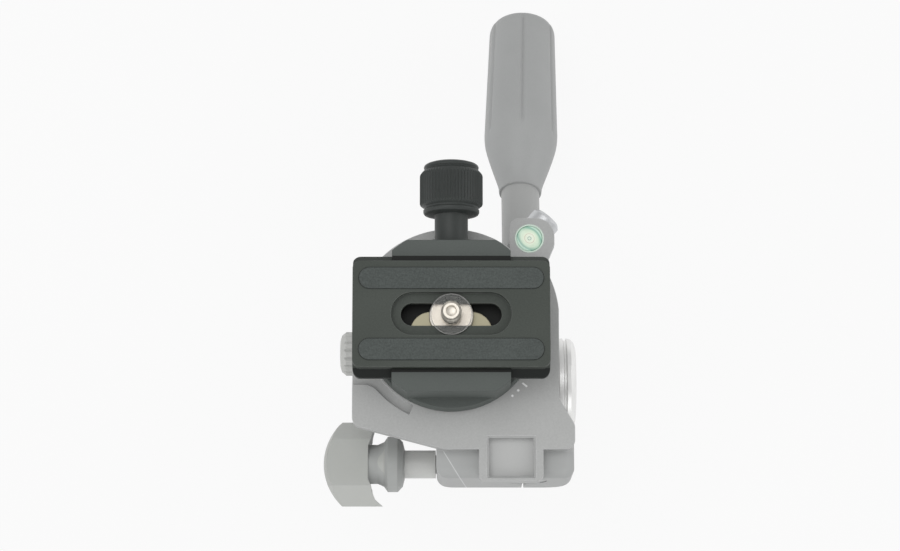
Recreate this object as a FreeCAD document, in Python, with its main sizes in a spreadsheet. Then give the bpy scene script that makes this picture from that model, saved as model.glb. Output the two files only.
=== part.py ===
import FreeCAD, Part
import math
import os
import re
import Sketcher

# A three way pan tilt head for a camera, in millimetres. Z is up, the origin is the middle of the
# base's underside on the pan axis, +Y is the side where the long handle leaves, and +X is the
# side of the silver tilt disc.

Vector = FreeCAD.Vector
Rotation = FreeCAD.Rotation
doc = FreeCAD.newDocument("pan_tilt_head")

SIZES = {
    # stack of levels
    "base_top": 10, "turret_top": 20.5, "platform_top": 84, "platform_thick": 4.7,
    "disc_top": 89.2, "table_top": 98, "jaw_top": 103, "plate_top": 106,
    "gap": 0.3, "fit": 0.05,
    # the four axes
    "tilt_y": -12, "tilt_z": 39, "side_x": 23, "side_z": 68.8,
    "pan_lock_y": 2, "pan_lock_z": 16.95, "side_lock_y": -40.2, "side_lock_z": 54.5,
    "handle_y": 14, "handle_z": 57.5, "handle_drop": 21.25,
    "swivel_lock_z": 73.8, "swivel_lock_angle": 50, "clamp_screw_z": 95,
    # base
    "base_radius": 26, "pad_thick": 1.2, "pad_inner": 11, "socket_radius": 4.76, "insert_radius": 8,
    "hub_radius": 9, "hub_top": 15, "flange_radius": 14, "flange_thick": 2.5,
    "flange_screw_circle": 5.6, "flange_screw_radius": 1.5, "flange_screw_head": 2.6,
    # pan housing
    "turret_radius": 25.5, "retainer_radius": 17, "retainer_top": 14.7, "cavity_top": 17.8,
    "pedestal_left": -14, "pedestal_right": 11, "trunnion_boss": 11, "trunnion_radius": 6,
    "pan_lock_bore": 2.1, "pan_lock_boss": 5.2, "pan_lock_face": -28, "pan_knob_radius": 7.4,
    "pan_knob_end": -37.5,
    # tilt body
    "cheek_left": 12.3, "cheek_right": 33.2, "cheek_radius": 12.5, "hub_front": -35, "hub_rear": 8,
    "tilt_hub": 10.2, "side_shaft_radius": 5, "side_shaft_start": -15, "side_shaft_end": -44.2,
    "slit_width": 0.7, "handle_boss": 8.5,
    "rod_radius": 3, "disc_left": 34.7, "disc_radius": 15.4, "disc_depth": 6.1,
    # handle, measured along its rod from the mouth of its boss
    "boss_length": 4, "stem_start": 5.2, "stem_radius": 6.3, "grip_start": 40.6, "cone_end": 60,
    "grip_end": 110.6, "grip_neck": 7.1, "grip_large": 12.3, "grip_small": 11.1,
    # platform casting
    "side_left": -31, "lobe_front": -31.3, "front_edge": -39, "slope_end": -2,
    "corner_right": 38.6, "corner_back": -31.3, "flank_right": 33.8, "flank_front": -23,
    "ear_left": 18.5, "ear_right": 32.6, "ear_back": 34.6, "back_radius": 31,
    "block_left": -4.7, "block_front": -47.3, "block_rear": -35.3, "block_top": 80,
    "block_bottom": 48, "swivel_boss": 11, "swivel_boss_bottom": 68, "spindle_radius": 6,
    "frame_left": 8.7, "frame_right": 28.7, "frame_front": -48.8, "frame_bottom": 76.4,
    "window_front": -47.4, "window_back": -35.4, "window_depth": 3.2, "washer_recess": 3.4,
    "ledge_inner": 27.8, "ledge_outer": 31, "ledge_front": -18.7, "ledge_depth": 1.2, "bubble_x": 24.7, "bubble_y": 28, "bubble_radius": 4.6, "bubble_depth": 3.8,
    # locks
    "wing_reach": 13.9, "wing_flat": 7.6, "wing_thick": 6.5, "wing_start": -21, "wing_length": 20,
    "dome_radius": 18.5, "lock_shank": 4.5, "lock_screw": 3,
    "swivel_knob_radius": 5, "swivel_knob_start": 35.2, "swivel_knob_end": 48.1, "swivel_screw": 2,
    # clamp
    "disc_clamp_radius": 27.3, "disc_bottom": 84.6, "jaw_half": 18.3, "jaw_outer": 23.6,
    "plate_half_top": 16.5, "plate_half_foot": 19, "foot_thick": 1.5, "flare_top": 102,
    "clamp_screw_radius": 2.5, "pin_radius": 1.5, "pin_offset": 12, "clamp_knob_radius": 9.85,
    # camera plate
    "plate_half_length": 30.3, "pocket_half_length": 26, "pocket_half_width": 14.2,
    "web_bottom": 102.3, "web_top": 104.2, "recess_half": 18.5, "recess_radius": 6.65,
    "slot_half": 15.5, "slot_radius": 3.5, "screw_radius": 3.175, "screw_neck": 2.6, "screw_top": 111,
    "pad_half": 28.3, "pad_in": 7.8, "pad_out": 14.3, "pad_proud": 0.3,
}

sheet = doc.addObject("Spreadsheet::Sheet", "Sizes")
for row, (alias, value) in enumerate(SIZES.items(), start=1):
    sheet.set(f"A{row}", alias)
    sheet.set(f"B{row}", str(value))
    sheet.setAlias(f"B{row}", alias)
doc.recompute()


def bound(text):
    """Turn a formula of plain size names into one that reads the sheet."""
    def cell(word):
        return word.group(0) if word.group(0) in ("sin", "cos", "deg") else "Sizes." + word.group(0)
    return re.sub(r"[a-z][a-z_]*[a-z]", cell, text)


def size(text):
    """The present value of a formula of size names."""
    return float(sheet.evalExpression(bound(text)))


def new_body(label):
    body = doc.addObject("PartDesign::Body", label)
    body.Label = label
    return body


def origin_plane(body, role):
    return [part for part in body.Origin.OriginFeatures if part.Role == role][0]


def new_sketch(body, name, role, offset):
    """A sketch parallel to an origin plane. XZ planes face -Y, so their offset is counted that way."""
    sketch = body.newObject("Sketcher::SketchObject", body.Name + "_" + name)
    sketch.AttachmentSupport = [(origin_plane(body, role), "")]
    sketch.MapMode = "FlatFace"
    sketch.setExpression("AttachmentOffset.Base.z", bound(offset))
    return sketch


def pin_point(sketch, element, end, across, up):
    """Fix one point of a sketch with two dimensions that follow the sheet."""
    for kind, text in (("DistanceX", across), ("DistanceY", up)):
        index = sketch.addConstraint(Sketcher.Constraint(kind, -1, 1, element, end, size(text)))
        sketch.setExpression(f"Constraints[{index}]", bound(text))


def arc_between(start, end, radius):
    """The short arc between two points; a negative radius bends it to the other side."""
    middle = (start + end) * 0.5
    half = end - middle
    reach = math.sqrt(max(0, radius ** 2 - half.Length ** 2))
    aside = Vector(-half.y, half.x, 0).normalize() * math.copysign(1, radius)
    return Part.Arc(start, middle - aside * (abs(radius) - reach), end)


def polygon(body, name, role, offset, points):
    """A closed outline through points given as pairs of formulas. A third formula is the radius of
    an arc that runs to that point from the one before, positive where the outline turns left."""
    sketch = new_sketch(body, name, role, offset)
    spots = [Vector(size(point[0]), size(point[1]), 0) for point in points]
    ends = []
    for index, point in enumerate(points):
        start, end = spots[index - 1], spots[index]
        if len(point) == 2:
            sketch.addGeometry(Part.LineSegment(start, end), False)
            ends.append((1, 2))
        else:
            forward = size(point[2]) > 0
            first, last = (start, end) if forward else (end, start)
            sketch.addGeometry(arc_between(first, last, abs(size(point[2]))), False)
            ends.append((1, 2) if forward else (2, 1))
    for index in range(len(spots)):
        sketch.addConstraint(Sketcher.Constraint("Coincident", index - 1 if index else len(spots) - 1,
                                                 ends[index - 1][1], index, ends[index][0]))
    for index, point in enumerate(points):
        pin_point(sketch, index, ends[index][1], point[0], point[1])
        if len(point) == 3:
            hold_arc(sketch, index, point, (spots[index] - spots[index - 1]).Length)
    return sketch


def hold_arc(sketch, index, point, chord):
    """Fix an arc by its radius, or an upright half circle by where its centre stands."""
    radius = abs(size(point[2]))
    if chord > radius * 1.9999:
        middle = Sketcher.Constraint("DistanceX", -1, 1, index, 3, size(point[0]))
        sketch.setExpression(f"Constraints[{sketch.addConstraint(middle)}]", bound(point[0]))
    else:
        bend = sketch.addConstraint(Sketcher.Constraint("Radius", index, radius))
        sketch.setExpression(f"Constraints[{bend}]", bound(point[2].lstrip("-")))


def circles(body, name, role, offset, centres, radius):
    """Equal circles round centres given as pairs of formulas."""
    sketch = new_sketch(body, name, role, offset)
    for index, (across, up) in enumerate(centres):
        centre = Vector(size(across), size(up), 0)
        sketch.addGeometry(Part.Circle(centre, Vector(0, 0, 1), size(radius)), False)
        pin_point(sketch, index, 3, across, up)
        ring = sketch.addConstraint(Sketcher.Constraint("Radius", index, size(radius)))
        sketch.setExpression(f"Constraints[{ring}]", bound(radius))
    return sketch


def pad(body, sketch, length, other_way=False):
    feature = body.newObject("PartDesign::Pad", sketch.Name + "_pad")
    feature.Profile = sketch
    feature.Reversed = other_way
    feature.setExpression("Length", bound(length))
    doc.recompute()
    return feature


def pocket(body, sketch, depth, other_way=False):
    """Cut a sketch into the body, and make sure that the cut took something away."""
    before = body.Shape.Volume
    feature = body.newObject("PartDesign::Pocket", sketch.Name + "_pocket")
    feature.Profile = sketch
    feature.Reversed = other_way
    feature.setExpression("Length", bound(depth))
    doc.recompute()
    if body.Shape.Volume > before - 0.1:
        raise RuntimeError(sketch.Name + " cuts nothing")
    return feature


def groove(body, name, profile):
    """Turn away the ring between a closed profile and its own Z axis's far side."""
    before = body.Shape.Volume
    sketch = polygon(body, name, "XZ_Plane", "0", profile)
    feature = body.newObject("PartDesign::Groove", sketch.Name + "_groove")
    feature.Profile = sketch
    feature.ReferenceAxis = (sketch, ["V_Axis"])
    feature.Angle = 360
    doc.recompute()
    if body.Shape.Volume > before - 0.1:
        raise RuntimeError(sketch.Name + " cuts nothing")
    return feature


def revolve(body, name, profile):
    """Add a turned form about the body's own Z axis."""
    sketch = polygon(body, name, "XZ_Plane", "0", profile)
    feature = body.newObject("PartDesign::Revolution", sketch.Name + "_revolution")
    feature.Profile = sketch
    feature.ReferenceAxis = (sketch, ["V_Axis"])
    feature.Angle = 360
    doc.recompute()
    return feature


def solid_of(body, kind, name, sizes, at, axis=Vector(0, 0, 1), angle="0"):
    """Add or cut a cylinder or box whose own Z axis is turned about an axis by an angle."""
    feature = body.newObject("PartDesign::" + kind, body.Name + "_" + name)
    feature.AttachmentSupport = [(origin_plane(body, "XY_Plane"), "")]
    feature.MapMode = "FlatFace"
    feature.AttachmentOffset = FreeCAD.Placement(Vector(), Rotation(axis, 1))
    feature.setExpression("AttachmentOffset.Rotation.Angle", bound(angle))
    for letter, text in zip("xyz", at):
        feature.setExpression("AttachmentOffset.Base." + letter, bound(text))
    for key, text in sizes.items():
        feature.setExpression(key, bound(text))
    doc.recompute()
    return feature


ALONG_X = {"axis": Vector(0, 1, 0), "angle": "90"}
ALONG_Y = {"axis": Vector(1, 0, 0), "angle": "-90"}


def cylinder(body, name, radius, length, at, turn, cut=False):
    kind = "SubtractiveCylinder" if cut else "AdditiveCylinder"
    return solid_of(body, kind, name, {"Radius": radius, "Height": length}, at, **turn)


def picked_edges(feature, wanted):
    """Names of a feature's edges for which wanted(edge) is true."""
    return [f"Edge{index}" for index, edge in enumerate(feature.Shape.Edges, start=1) if wanted(edge)]


def runs_along(edge, direction):
    """True for a straight edge parallel to a direction."""
    if not isinstance(edge.Curve, Part.Line):
        return False
    return abs(abs(edge.Curve.Direction.dot(direction)) - 1) < 1e-6


def dress(body, kind, name, base, names, amount):
    """Fillet or chamfer named edges of the last feature."""
    feature = body.newObject("PartDesign::" + kind, body.Name + "_" + name)
    feature.Base = (base, names)
    feature.setExpression("Radius" if kind == "Fillet" else "Size", bound(amount))
    doc.recompute()
    return feature


def place(body, at, axis=Vector(0, 0, 1), angle="0"):
    """Put a piece drawn about its own Z axis where it belongs in the head."""
    body.Placement = FreeCAD.Placement(Vector(), Rotation(axis, 1))
    body.setExpression("Placement.Rotation.Angle", bound(angle))
    for letter, text in zip("xyz", at):
        body.setExpression("Placement.Base." + letter, bound(text))


def turned(label, profile, at=("0", "0", "0"), axis=Vector(0, 0, 1), angle="0"):
    """A lathe-turned piece: pairs of radius and height, revolved about its own Z axis."""
    body = new_body(label)
    revolve(body, "profile", profile)
    place(body, at, axis, angle)
    return body


def ring(label, inner, outer, low, high, **where):
    """A plain turned washer or disc."""
    return turned(label, [(inner, low), (outer, low), (outer, high), (inner, high)], **where)


def round_pattern(body, feature, count):
    """Repeat a feature round the body's own Z axis."""
    pattern = body.newObject("PartDesign::PolarPattern", feature.Name + "_pattern")
    pattern.Originals = [feature]
    pattern.Axis = (origin_plane(body, "Z_Axis"), [""])
    pattern.Angle = 360
    pattern.Occurrences = count
    body.Tip = pattern
    doc.recompute()
    return pattern


def group(label, members):
    """Like pieces that share one name, each still a solid of its own."""
    compound = doc.addObject("Part::Compound", label)
    compound.Label = label
    compound.Links = members
    return compound


nodes = []


# ---- base: the fixed disc that screws to a tripod ----

def flange_screw_places():
    """Three screws at equal angles round the pan axis."""
    return [(f"flange_screw_circle * cos({turn} * 1 deg)", f"flange_screw_circle * sin({turn} * 1 deg)")
            for turn in (90, 210, 330)]


def make_base():
    base = turned("base_plate", [
        ("insert_radius", "pad_thick"), ("base_radius - 0.8", "pad_thick"),
        ("base_radius", "pad_thick + 0.8"), ("base_radius", "base_top - 1"),
        ("base_radius - 1", "base_top"), ("hub_radius", "base_top"), ("hub_radius", "hub_top"),
        ("0", "hub_top"), ("0", "base_top"), ("insert_radius", "base_top")])
    holes = circles(base, "screw_holes", "XY_Plane", "hub_top", flange_screw_places(),
                    "flange_screw_radius")
    pocket(base, holes, "4")
    foot = ring("base_pad", "pad_inner", "base_radius - 1", "0", "pad_thick")
    insert = turned("tripod_insert", [
        ("socket_radius + 0.6", "0"), ("insert_radius", "0"), ("insert_radius", "base_top"),
        ("socket_radius", "base_top"), ("socket_radius", "0.6")])
    flange = ring("pan_flange", "0", "flange_radius", "hub_top", "hub_top + flange_thick")
    through = circles(flange, "screw_holes", "XY_Plane", "hub_top + flange_thick",
                      flange_screw_places(), "flange_screw_head")
    pocket(flange, through, "flange_thick")
    screws = []
    for number, (across, back) in enumerate(flange_screw_places(), start=1):
        screws.append(turned(f"flange_screw_{number}", [
            ("0", "-3.8"), ("flange_screw_radius", "-3.8"), ("flange_screw_radius", "0"),
            ("flange_screw_head", "0"), ("flange_screw_head", "flange_thick"), ("0.9", "flange_thick"),
            ("0.9", "flange_thick - 1.2"), ("0", "flange_thick - 1.2")], at=(across, back, "hub_top")))
    return [base, foot, insert, flange, group("pan_flange_screws", screws)]


# ---- pan housing: turns on the base and carries the tilt trunnion ----

def make_pan():
    retainer = ring("pan_retainer", "hub_radius + fit", "retainer_radius", "base_top + gap",
                    "retainer_top")
    housing = turned("pan_housing", [
        ("retainer_radius", "base_top + gap"), ("turret_radius - 0.8", "base_top + gap"),
        ("turret_radius", "base_top + gap + 0.8"), ("turret_radius", "turret_top - 2"),
        ("turret_radius - 2", "turret_top"), ("0", "turret_top"), ("0", "cavity_top"),
        ("flange_radius + gap", "cavity_top"), ("flange_radius + gap", "retainer_top"),
        ("retainer_radius", "retainer_top")])
    cylinder(housing, "lock_boss", "pan_lock_boss", "6",
             ("pan_lock_face", "pan_lock_y", "pan_lock_z"), ALONG_X)
    web = polygon(housing, "pedestal", "YZ_Plane", "pedestal_left", [
        ("tilt_y - trunnion_boss", "turret_top - 1"), ("tilt_y + trunnion_boss + 11", "turret_top - 1"),
        ("tilt_y + trunnion_boss", "tilt_z"), ("tilt_y - trunnion_boss", "tilt_z")])
    pad(housing, web, "pedestal_right - pedestal_left")
    cylinder(housing, "trunnion_boss", "trunnion_boss", "pedestal_right - pedestal_left",
             ("pedestal_left", "tilt_y", "tilt_z"), ALONG_X)
    cylinder(housing, "trunnion_bore", "trunnion_radius", "pedestal_right - pedestal_left + 2",
             ("pedestal_left - 1", "tilt_y", "tilt_z"), ALONG_X, cut=True)
    cylinder(housing, "lock_bore", "pan_lock_bore", "15",
             ("pan_lock_face - 1", "pan_lock_y", "pan_lock_z"), ALONG_X, cut=True)
    where = {"axis": ALONG_X["axis"], "angle": ALONG_X["angle"]}
    at_tilt = ("0", "tilt_y", "tilt_z")
    shaft = turned("trunnion_shaft", [
        ("0", "pedestal_left - 2.5"), ("trunnion_radius + 1.5", "pedestal_left - 2.5"),
        ("trunnion_radius + 2.5", "pedestal_left - 1.5"), ("trunnion_radius + 2.5", "pedestal_left"),
        ("trunnion_radius", "pedestal_left"), ("trunnion_radius", "disc_left + 3.2"),
        ("0", "disc_left + 3.2")], at=at_tilt, **where)
    washer = ring("tilt_friction_washer", "trunnion_radius", "trunnion_boss - 0.6", "pedestal_right",
                  "cheek_left - gap", at=at_tilt, **where)
    spacer = ring("tilt_spacer", "trunnion_radius", "trunnion_radius + 3", "cheek_right + gap",
                  "disc_left", at=at_tilt, **where)
    disc = turned("tilt_disc", [
        ("trunnion_radius", "0"), ("disc_radius - 0.5", "0"), ("disc_radius", "0.5"),
        ("disc_radius", "1.9"), ("disc_radius - 0.7", "2.2"), ("disc_radius - 0.7", "2.8"),
        ("disc_radius", "3.1"), ("disc_radius - 0.3", "4.4"), ("disc_radius - 1.6", "disc_depth - 0.5"),
        ("disc_radius - 3.4", "disc_depth"), ("disc_radius - 5.2", "disc_depth"),
        ("disc_radius - 5.8", "disc_depth - 0.7"), ("0", "disc_depth - 0.7"), ("0", "3.2"),
        ("trunnion_radius", "3.2")], at=("disc_left", "tilt_y", "tilt_z"), **where)
    shoe = ring("pan_brake_shoe", "0", "pan_lock_bore", "-16.3", "-14.5",
                at=("0", "pan_lock_y", "pan_lock_z"), **where)
    return [retainer, housing, shaft, washer, spacer, disc, shoe]


# ---- pan lock: a small fluted knob that drives the brake shoe ----

def make_pan_lock():
    outward = {"at": ("pan_lock_face - gap", "pan_lock_y", "pan_lock_z"), "axis": Vector(0, 1, 0),
               "angle": "-90"}
    length = "pan_lock_face - gap - pan_knob_end"
    knob = turned("pan_lock_knob", [
        ("pan_lock_bore - 0.1", "0"), ("pan_knob_radius - 2", "0"), ("pan_knob_radius - 2", "1.2"),
        ("pan_knob_radius - 0.6", "1.6"), ("pan_knob_radius", "2.4"),
        ("pan_knob_radius", length + " - 2"), ("pan_knob_radius - 1.2", length + " - 0.5"),
        ("pan_knob_radius - 3", length), ("0", length), ("0", "5"), ("pan_lock_bore - 0.1", "5")],
        **outward)
    flute = solid_of(knob, "SubtractiveBox", "flute", {"Length": "2", "Width": "2", "Height": "12"},
                     ("pan_knob_radius - 0.6", "0", "1.3"), angle="-45")
    round_pattern(knob, flute, 16)
    screw = ring("pan_lock_screw", "0", "pan_lock_bore - 0.1", "-11.7", "5", **outward)
    return [knob, screw]


# ---- tilt body: a split clamp on the trunnion, closed by the handle's rod ----

def make_tilt():
    tilt = new_body("tilt_body")
    column = polygon(tilt, "column", "YZ_Plane", "cheek_left", [
        ("tilt_y - cheek_radius", "tilt_z"), ("tilt_y + cheek_radius", "tilt_z"),
        ("handle_y - 1", "handle_z - 10"), ("handle_y", "handle_z - 6"),
        ("handle_y", "handle_z + 7.5"), ("hub_rear", "side_z"), ("hub_front", "side_z"),
        ("hub_front", "side_z - 9"), ("hub_front + 3", "side_z - 12")])
    pad(tilt, column, "cheek_right - cheek_left")
    cylinder(tilt, "cheek", "cheek_radius", "cheek_right - cheek_left",
             ("cheek_left", "tilt_y", "tilt_z"), ALONG_X)
    cylinder(tilt, "side_hub", "tilt_hub", "hub_rear - hub_front", ("side_x", "hub_front", "side_z"),
             ALONG_Y)
    handle_turn = {"axis": Vector(1, 0, 0), "angle": "-90 - handle_drop"}
    at_handle = ("side_x", "handle_y", "handle_z")
    solid_of(tilt, "AdditiveCylinder", "handle_boss",
             {"Radius": "handle_boss", "Height": "boss_length"}, at_handle, **handle_turn)
    backward = {"axis": Vector(1, 0, 0), "angle": "90 - handle_drop"}
    solid_of(tilt, "AdditiveCylinder", "boss_root", {"Radius": "handle_boss", "Height": "9"},
             at_handle, **backward)
    cylinder(tilt, "trunnion_bore", "trunnion_radius + fit", "cheek_right - cheek_left + 2",
             ("cheek_left - 1", "tilt_y", "tilt_z"), ALONG_X, cut=True)
    cylinder(tilt, "side_bore", "side_shaft_radius", "20.5", ("side_x", "hub_front - 0.5", "side_z"),
             ALONG_Y, cut=True)
    solid_of(tilt, "SubtractiveCylinder", "rod_bore", {"Radius": "rod_radius + fit", "Height": "27"},
             at_handle, **backward)
    solid_of(tilt, "SubtractiveCylinder", "rod_mouth",
             {"Radius": "rod_radius + fit", "Height": "boss_length + 1"}, at_handle, **handle_turn)
    slit = {"axis": Vector(1, 0, 0), "angle": "-handle_drop"}
    solid_of(tilt, "SubtractiveBox", "slit",
             {"Length": "cheek_right - cheek_left + 2", "Width": "slit_width", "Height": "46"},
             ("cheek_left - 1", "tilt_y - slit_width / 2", "tilt_z"), **slit)
    return [tilt]


def make_side_shaft():
    forward = {"at": ("side_x", "side_shaft_end", "side_z"), "axis": Vector(1, 0, 0), "angle": "90"}
    shaft = turned("side_shaft", [
        ("0", "side_shaft_end - side_shaft_start"),
        ("side_shaft_radius - 0.5", "side_shaft_end - side_shaft_start"),
        ("side_shaft_radius", "side_shaft_end - side_shaft_start + 0.5"), ("side_shaft_radius", "0"),
        ("2", "0"), ("2", "-8"), ("0", "-8")], **forward)
    washer = turned("side_shaft_washer", [
        ("2", "0"), ("7", "0"), ("7", "2.8"), ("4.3", "2.8"), ("4.3", "1.2"), ("2", "1.2")], **forward)
    screw = turned("side_shaft_screw", [
        ("0", "-7.6"), ("2", "-7.6"), ("2", "1.2"), ("4", "1.2"), ("4", "2.3"), ("3.6", "2.7"),
        ("1.5", "2.7"), ("1.5", "1.7"), ("0", "1.7")], **forward)
    return [shaft, washer, screw]


# ---- handle: a grip on a rod whose thread closes the split clamp ----

def make_handle():
    where = {"at": ("side_x", "handle_y", "handle_z"), "axis": Vector(1, 0, 0),
             "angle": "-90 - handle_drop"}
    rod = turned("handle_rod", [
        ("0", "-25.5"), ("rod_radius - 0.6", "-25.5"), ("rod_radius", "-24.9"), ("rod_radius", "45"),
        ("0", "45")], **where)
    washer = ring("handle_washer", "rod_radius", "rod_radius + 3.6", "boss_length + gap",
                  "stem_start", **where)
    stem = turned("handle_stem", [
        ("rod_radius", "stem_start"), ("stem_radius - 0.6", "stem_start"),
        ("stem_radius", "stem_start + 0.6"), ("stem_radius", "grip_start + 11"),
        ("0", "grip_start + 11"), ("0", "45"), ("rod_radius", "45")], **where)
    grip = turned("handle_grip", [
        ("stem_radius", "grip_start"), ("grip_neck - 0.4", "grip_start"),
        ("grip_neck", "grip_start + 0.5"), ("grip_neck + 0.6", "grip_start + 3.5"),
        ("grip_large - 0.7", "cone_end - 2"), ("grip_large - 0.1", "cone_end + 1"),
        ("grip_large", "cone_end + 4"), ("grip_small", "grip_end - 4"),
        ("grip_small - 2", "grip_end - 0.9"), ("grip_small - 4.6", "grip_end"), ("0", "grip_end"),
        ("0", "grip_start + 11"),
        ("stem_radius", "grip_start + 11")], **where)
    groove = solid_of(grip, "SubtractiveCylinder", "groove", {"Radius": "1.6", "Height": "60"},
                      ("0", "grip_large + 0.7", "cone_end + 6"), axis=Vector(1, 0, 0), angle="1.1")
    round_pattern(grip, groove, 6)
    return [rod, washer, stem, grip]


# ---- platform casting: rocks sideways on the side shaft and carries the clamp ----

def make_platform():
    platform = new_body("platform")
    underside = "platform_top - platform_thick"
    outline = polygon(platform, "outline", "XY_Plane", underside, [
        ("side_left", "lobe_front"), ("slope_end", "front_edge"), ("corner_right", "front_edge"),
        ("corner_right", "corner_back"), ("flank_right", "flank_front"), ("flank_right", "5.4"),
        ("30.5", "16.8", "34.4"), ("30.5", "21"), ("ear_right", "26"), ("ear_right", "ear_back"),
        ("ear_left", "ear_back"), ("ear_left", "24.9"), ("side_left", "0", "back_radius")])
    slab = pad(platform, outline, "platform_thick")
    corners = picked_edges(slab, lambda edge: runs_along(edge, Vector(0, 0, 1)) and (
        edge.CenterOfMass.y < -25 or 30 < edge.CenterOfMass.y and edge.CenterOfMass.x < 20))
    eased = dress(platform, "Fillet", "corners", slab, corners, "3")
    ear = picked_edges(eased, lambda edge: runs_along(edge, Vector(0, 0, 1))
                       and edge.CenterOfMass.y > 30 and edge.CenterOfMass.x > 30)
    dress(platform, "Fillet", "ear_corner", eased, ear, "6")
    solid_of(platform, "AdditiveCylinder", "swivel_boss",
             {"Radius": "swivel_boss", "Height": "platform_top - 2 - swivel_boss_bottom"},
             ("0", "0", "swivel_boss_bottom"))
    block = polygon(platform, "block", "XZ_Plane", "-block_rear", [
        ("block_left", "block_bottom + 6"), ("block_left + 6", "block_bottom", "6"),
        ("corner_right - 9", "block_bottom"), ("corner_right", "block_bottom + 9", "9"),
        ("corner_right", "block_top - 4"), ("corner_right - 4", "block_top", "4"),
        ("block_left", "block_top")])
    hub = pad(platform, block, "block_rear - block_front")
    ends = picked_edges(hub, lambda edge: runs_along(edge, Vector(0, 0, 1))
                        and edge.CenterOfMass.y < size("block_front") + 0.1)
    dress(platform, "Fillet", "block_front", hub, ends, "3.3")
    frame = polygon(platform, "window_frame", "XY_Plane", "frame_bottom", [
        ("frame_left", "frame_front"), ("frame_right", "frame_front"), ("frame_right", "block_rear"),
        ("frame_left", "block_rear")])
    raised = pad(platform, frame, "platform_top - frame_bottom")
    uprights = picked_edges(raised, lambda edge: runs_along(edge, Vector(0, 0, 1))
                            and edge.CenterOfMass.y < size("frame_front") + 0.1)
    dress(platform, "Fillet", "frame_corners", raised, uprights, "2")
    window = polygon(platform, "window", "XY_Plane", "platform_top", [
        ("frame_left + 3", "window_front"), ("frame_right - 3", "window_front"),
        ("frame_right - 3", "window_back"), ("frame_left + 3", "window_back")])
    dished = pocket(platform, window, "window_depth")
    rim = picked_edges(dished, lambda edge: abs(edge.CenterOfMass.z - size("platform_top")) < 0.01
                       and size("frame_left") + 2 < edge.CenterOfMass.x < size("frame_right") - 2
                       and edge.CenterOfMass.y < size("window_back") + 0.1
                       and edge.CenterOfMass.y > size("window_front") - 0.1)
    dress(platform, "Chamfer", "window_rim", dished, rim, "0.7")
    rib = polygon(platform, "rib", "YZ_Plane", "block_left", [
        ("block_rear - 2", "block_top - 14"), ("-13", underside + " + 1"),
        ("block_rear - 2", underside + " + 1")])
    pad(platform, rib, "4")
    add_swivel_lock_rib(platform, underside)
    cut_platform(platform)
    return [platform]


RADIAL = {"axis": Vector(-math.sin(math.radians(size("swivel_lock_angle"))),
                         math.cos(math.radians(size("swivel_lock_angle"))), 0), "angle": "90"}


def radial_spot(distance):
    """A place on the swivel lock's screw line, at a distance from the swivel axis."""
    return (distance + " * cos(swivel_lock_angle * 1 deg)",
            distance + " * sin(swivel_lock_angle * 1 deg)", "swivel_lock_z")


def add_swivel_lock_rib(platform, underside):
    """A rounded rib below the slab that guides the swivel lock's screw."""
    turn = {"axis": Vector(0, 0, 1), "angle": "swivel_lock_angle"}
    corner = ("9 * cos(swivel_lock_angle * 1 deg) + 3.5 * sin(swivel_lock_angle * 1 deg)",
              "9 * sin(swivel_lock_angle * 1 deg) - 3.5 * cos(swivel_lock_angle * 1 deg)",
              "swivel_lock_z")
    solid_of(platform, "AdditiveBox", "lock_rib",
             {"Length": "26", "Width": "7", "Height": underside + " - swivel_lock_z + 1"},
             corner, **turn)
    cylinder(platform, "lock_rib_round", "3.5", "26", radial_spot("9"), RADIAL)


def cut_platform(platform):
    """Bores, recesses and the clamping slit of the platform casting."""
    solid_of(platform, "SubtractiveCylinder", "spindle_bore",
             {"Radius": "spindle_radius + fit", "Height": "20"}, ("0", "0", "swivel_boss_bottom - 1"))
    cylinder(platform, "side_bore", "side_shaft_radius + fit", "16",
             ("side_x", "block_front - 2", "side_z"), ALONG_Y, cut=True)
    cylinder(platform, "washer_seat", "7.3", "washer_recess + 1",
             ("side_x", "block_front - 1", "side_z"), ALONG_Y, cut=True)
    cylinder(platform, "lock_screw_bore", "lock_screw + fit", "37",
             ("block_left - 1", "side_lock_y", "side_lock_z"), ALONG_X, cut=True)
    solid_of(platform, "SubtractiveBox", "slit",
             {"Length": "slit_width", "Width": "16", "Height": "side_z - block_bottom + 1"},
             ("side_x - slit_width / 2", "block_front - 2", "block_bottom - 1"))
    cylinder(platform, "swivel_lock_bore", "swivel_screw + fit", "36", radial_spot("1"), RADIAL,
             cut=True)
    solid_of(platform, "SubtractiveCylinder", "bubble_seat",
             {"Radius": "bubble_radius", "Height": "bubble_depth + 1"},
             ("bubble_x", "bubble_y", "platform_top - bubble_depth"))
    ledge = polygon(platform, "ledge", "XY_Plane", "platform_top", [
        ("side_left - 1", "ledge_front"), ("side_left + 4", "ledge_front"),
        ("ledge_outer * cos(223 * 1 deg)", "ledge_outer * sin(223 * 1 deg)", "-6"),
        ("ledge_outer * cos(245 * 1 deg)", "ledge_outer * sin(245 * 1 deg)", "ledge_outer"),
        ("ledge_inner * cos(245 * 1 deg)", "ledge_inner * sin(245 * 1 deg)"),
        ("ledge_inner * cos(185 * 1 deg)", "ledge_inner * sin(185 * 1 deg)", "-ledge_inner"),
        ("side_left - 1", "ledge_inner * sin(185 * 1 deg)")])
    pocket(platform, ledge, "ledge_depth")


# ---- round spirit level in the platform's ear ----

def make_bubble():
    at = ("bubble_x", "bubble_y", "platform_top")
    cup = turned("bubble_cup", [
        ("0", "-bubble_depth"), ("bubble_radius", "-bubble_depth"), ("bubble_radius", "0.1"),
        ("bubble_radius - 0.5", "0.1"), ("bubble_radius - 0.5", "0.8 - bubble_depth"),
        ("0", "0.8 - bubble_depth")], at=at)
    lens = turned("bubble_lens", [
        ("0", "0.8 - bubble_depth"), ("bubble_radius - 0.5", "0.8 - bubble_depth"),
        ("bubble_radius - 0.5", "-0.3"), ("bubble_radius - 0.8", "0"), ("2", "0.2"), ("0", "0.2")], at=at)
    return [cup, lens]


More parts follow.
